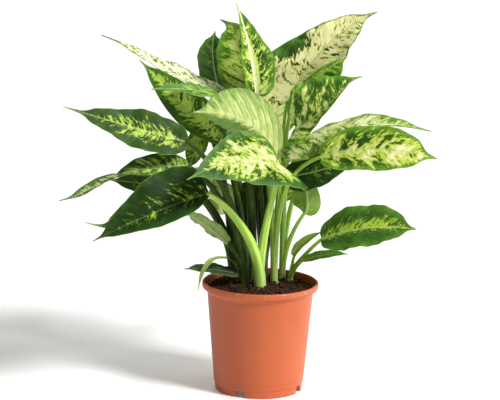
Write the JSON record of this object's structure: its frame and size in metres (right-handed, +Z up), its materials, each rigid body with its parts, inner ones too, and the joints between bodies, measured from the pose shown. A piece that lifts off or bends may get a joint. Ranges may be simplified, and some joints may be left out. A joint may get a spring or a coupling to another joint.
{
  "type": "potted dieffenbachia",
  "caption": "Bushy dieffenbachia with cream and lime patterned leaves on green stalks, growing in peat in a terracotta-coloured plastic nursery pot.",
  "frame": {"origin": "middle of the outline's box in plan, on the surface that the pot stands on", "axes": "+Z up along the pot's axis, +X to the viewer's right, -Y towards the viewer in the picture"},
  "size_m": [0.3762, 0.2546, 0.4001],
  "materials": {
    "pot_plastic": "satin moulded polypropylene, terracotta colour",
    "soil": "rough dark peat with red-brown crumbs",
    "stalk_green": "smooth, waxy light green",
    "leaf_cream": "satin, cream with green border and flecks",
    "leaf_patterned": "satin, green with lime and cream streaks along the side veins",
    "leaf_green": "satin, plain deep green"
  },
  "bodies": {
    "root": {"pot": "pot_plastic", "soil": "soil", "shoot_a": "stalk_green", "shoot_b": "stalk_green", "shoot_c": "stalk_green", "shoot_d": "stalk_green", "shoot_e": "stalk_green", "shoot_f": "stalk_green", "shoot_g": "stalk_green", "shoot_h": "stalk_green", "leaf_a1": "leaf_cream", "leaf_a2": "leaf_patterned", "leaf_b1": "leaf_patterned", "leaf_b2": "leaf_cream", "leaf_b3": "leaf_patterned", "leaf_b4": "leaf_patterned", "leaf_b5": "leaf_green", "leaf_c1": "leaf_cream", "leaf_c2": "leaf_patterned", "leaf_c3": "leaf_patterned", "leaf_c4": "leaf_green", "leaf_c5": "leaf_patterned", "leaf_d1": "leaf_patterned", "leaf_d2": "leaf_green", "leaf_d3": "leaf_green", "leaf_e1": "leaf_patterned", "leaf_e2": "leaf_patterned", "leaf_e3": "leaf_patterned", "leaf_e4": "leaf_patterned", "leaf_e5": "leaf_green", "leaf_e6": "leaf_green", "leaf_f1": "leaf_patterned", "leaf_f2": "leaf_green", "leaf_f3": "leaf_patterned", "leaf_f4": "leaf_cream", "leaf_f5": "leaf_patterned", "leaf_g1": "leaf_patterned", "leaf_g2": "leaf_patterned", "leaf_g3": "leaf_green", "leaf_g4": "leaf_patterned", "leaf_g5": "leaf_patterned", "leaf_h1": "leaf_cream", "leaf_h2": "leaf_patterned", "leaf_h3": "leaf_patterned"}
  },
  "joints": []
}
